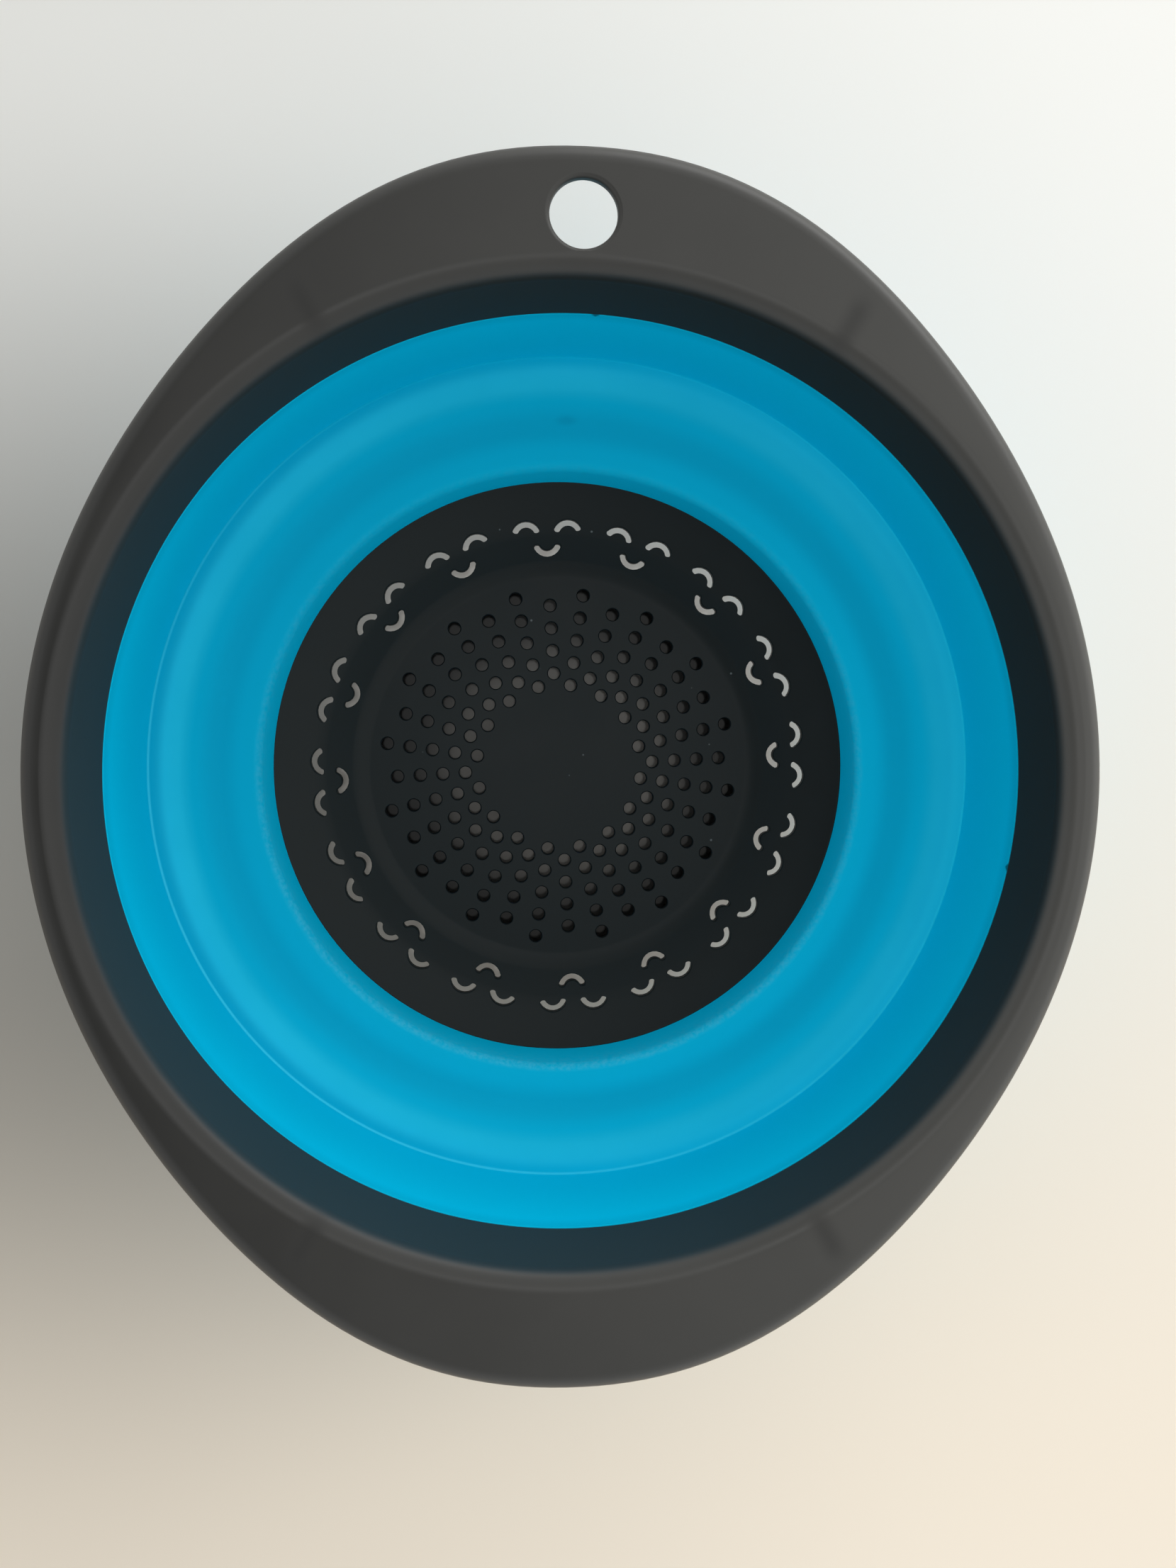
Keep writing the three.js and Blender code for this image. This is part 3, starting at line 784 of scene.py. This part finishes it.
# %% [markdown]
# ## Floor and light
# The floor is a pale table top, neutral at the far end and warmer towards the viewer. It is painted darker
# on the left and under the dish, where the photograph is in deeper shade than these lamps give. Its places
# are in metres.

# %% Floor
FLOOR_HALF = 20
PALE_FAR = (0.84, 0.83, 0.795, 1)
PALE_NEAR = (0.865, 0.77, 0.645, 1)
SHADE_TONE = (0.0, 0.005, 0.008, 1)
SHADE_PLACE = (-0.165, -0.03)

floor_bm = bmesh.new()
bmesh.ops.create_grid(floor_bm, x_segments=1, y_segments=1, size=FLOOR_HALF)
floor = as_piece("floor", floor_bm)
floor_nodes = Nodes(bpy.data.materials.new("pale_table"))
place_on_floor = floor_nodes.node("TexCoord", {}, {}, output=3)
floor_x = floor_nodes.node("SeparateXYZ", {}, {0: place_on_floor}, output=0)
floor_y = floor_nodes.node("SeparateXYZ", {}, {0: place_on_floor}, output=1)
floor_grain = floor_nodes.noise(place_on_floor, scale=6, detail=3, roughness=0.5)
floor_radius = (floor_x ** 2 + floor_y ** 2) ** 0.5
close_by = floor_nodes.fade(floor_radius, 0.35, 1.2)
warmth = floor_nodes.fade(floor_y + 0.05 * floor_grain, -0.22, 0.2) * close_by
pale = floor_nodes.mix(warmth, PALE_FAR, PALE_NEAR)
from_shade = ((floor_x - SHADE_PLACE[0]) ** 2 + (floor_y - SHADE_PLACE[1]) ** 2) ** 0.5
shade = 0.6 * floor_nodes.fade(from_shade, 0.03, 0.24)
left = 0.2 * floor_nodes.fade(floor_x, -0.25, 0.18) * close_by
under = 0.88 - 0.38 * floor_nodes.fade(floor_radius, 0.026, 0.044)
under = under * floor_nodes.fade(floor_radius, 0.052, 0.06)
pale = floor_nodes.mix(1 - (1 - shade) * (1 - left) * (1 - under), pale, SHADE_TONE)
floor_nodes.cover(floor, {
    "Base Color": pale,
    "Roughness": 0.45,
    "Specular IOR Level": 0.3,
})

# %% [markdown]
# The world is a soft room. It is even at the height of a window, has a ceiling that is brighter on the right
# than on the left, is dim straight overhead, and has a horizon that is bright on the right.

# %% World
WINDOW_TURN = math.radians(8)  # clockwise from the handle
BRIGHT_TURN = math.radians(78)
WINDOW_SIDE = (1.22, 1.23, 1.22, 1)
FAR_SIDE = (1.12, 1.13, 1.13, 1)
BRIGHT_CEILING = (1.6, 1.6, 1.57, 1)
DIM_CEILING = (0.14, 0.14, 0.14, 1)
OVERHEAD = (0.3, 0.31, 0.32, 1)
BRIGHT_HORIZON = (3.2, 3.2, 3.15, 1)
DIM_HORIZON = (0.65, 0.65, 0.65, 1)
WORLD_STRENGTH = 0.955

bpy.context.scene.world = bpy.data.worlds.new("soft_room")
sky = Nodes(bpy.context.scene.world)
direction = sky.node("TexCoord", {}, {}, output=0)
east = sky.node("SeparateXYZ", {}, {0: direction}, output=0)
north = sky.node("SeparateXYZ", {}, {0: direction}, output=1)
up = sky.node("SeparateXYZ", {}, {0: direction}, output=2)
from_window = east * math.sin(WINDOW_TURN) + north * math.cos(WINDOW_TURN)
sideways = east * math.sin(BRIGHT_TURN) + north * math.cos(BRIGHT_TURN)
horizon = sky.mix(sky.fade(sideways, -0.9, 0.9), BRIGHT_HORIZON, DIM_HORIZON)
room = sky.mix(sky.fade(from_window, -0.5, 0.8), WINDOW_SIDE, FAR_SIDE)
ceiling = sky.mix(sky.fade(sideways, -0.45, 0.45), BRIGHT_CEILING, DIM_CEILING)
light = sky.mix(sky.fade(up, 0.55, 0.85), ceiling, room)
light = sky.mix(sky.fade(up, 0.06, 0.27), light, horizon)
light = sky.mix(sky.fade(1 - up, 0.012, 0.07), light, OVERHEAD)
background = sky.node("Background", {}, {"Color": light, "Strength": WORLD_STRENGTH})
sky.node("OutputWorld", {}, {0: background})
print("world nodes", len(sky.tree.nodes))


# %% [markdown]
# Two lamps give directions. A wide low one at the far side reaches the near wall of the bowl, and a weak
# small one overhead shines through the drain holes.

# %% Lamps
def soft_lamp(name, width, depth, watts, turn, rise, distance):
    """A large lamp that looks at the origin; turn is clockwise from the handle, in degrees."""
    data = bpy.data.lights.new(name, "AREA")
    data.shape = "RECTANGLE"
    data.size = width
    data.size_y = depth
    data.energy = watts
    lamp = bpy.data.objects.new(name, data)
    turn, rise = math.radians(turn), math.radians(rise)
    towards = Vector((math.cos(rise) * math.sin(turn), math.cos(rise) * math.cos(turn), math.sin(rise)))
    lamp.location = towards * distance
    lamp.rotation_euler = towards.to_track_quat("Z", "Y").to_euler()
    bpy.context.scene.collection.objects.link(lamp)
    print(name, "at", [round(value, 2) for value in lamp.location])


soft_lamp("window", 1.5, 0.4, watts=6.5, turn=30, rise=16, distance=1.5)
soft_lamp("downlight", 0.07, 0.07, watts=1.7, turn=0, rise=88, distance=1.4)
bpy.context.scene.view_settings.view_transform = "Standard"
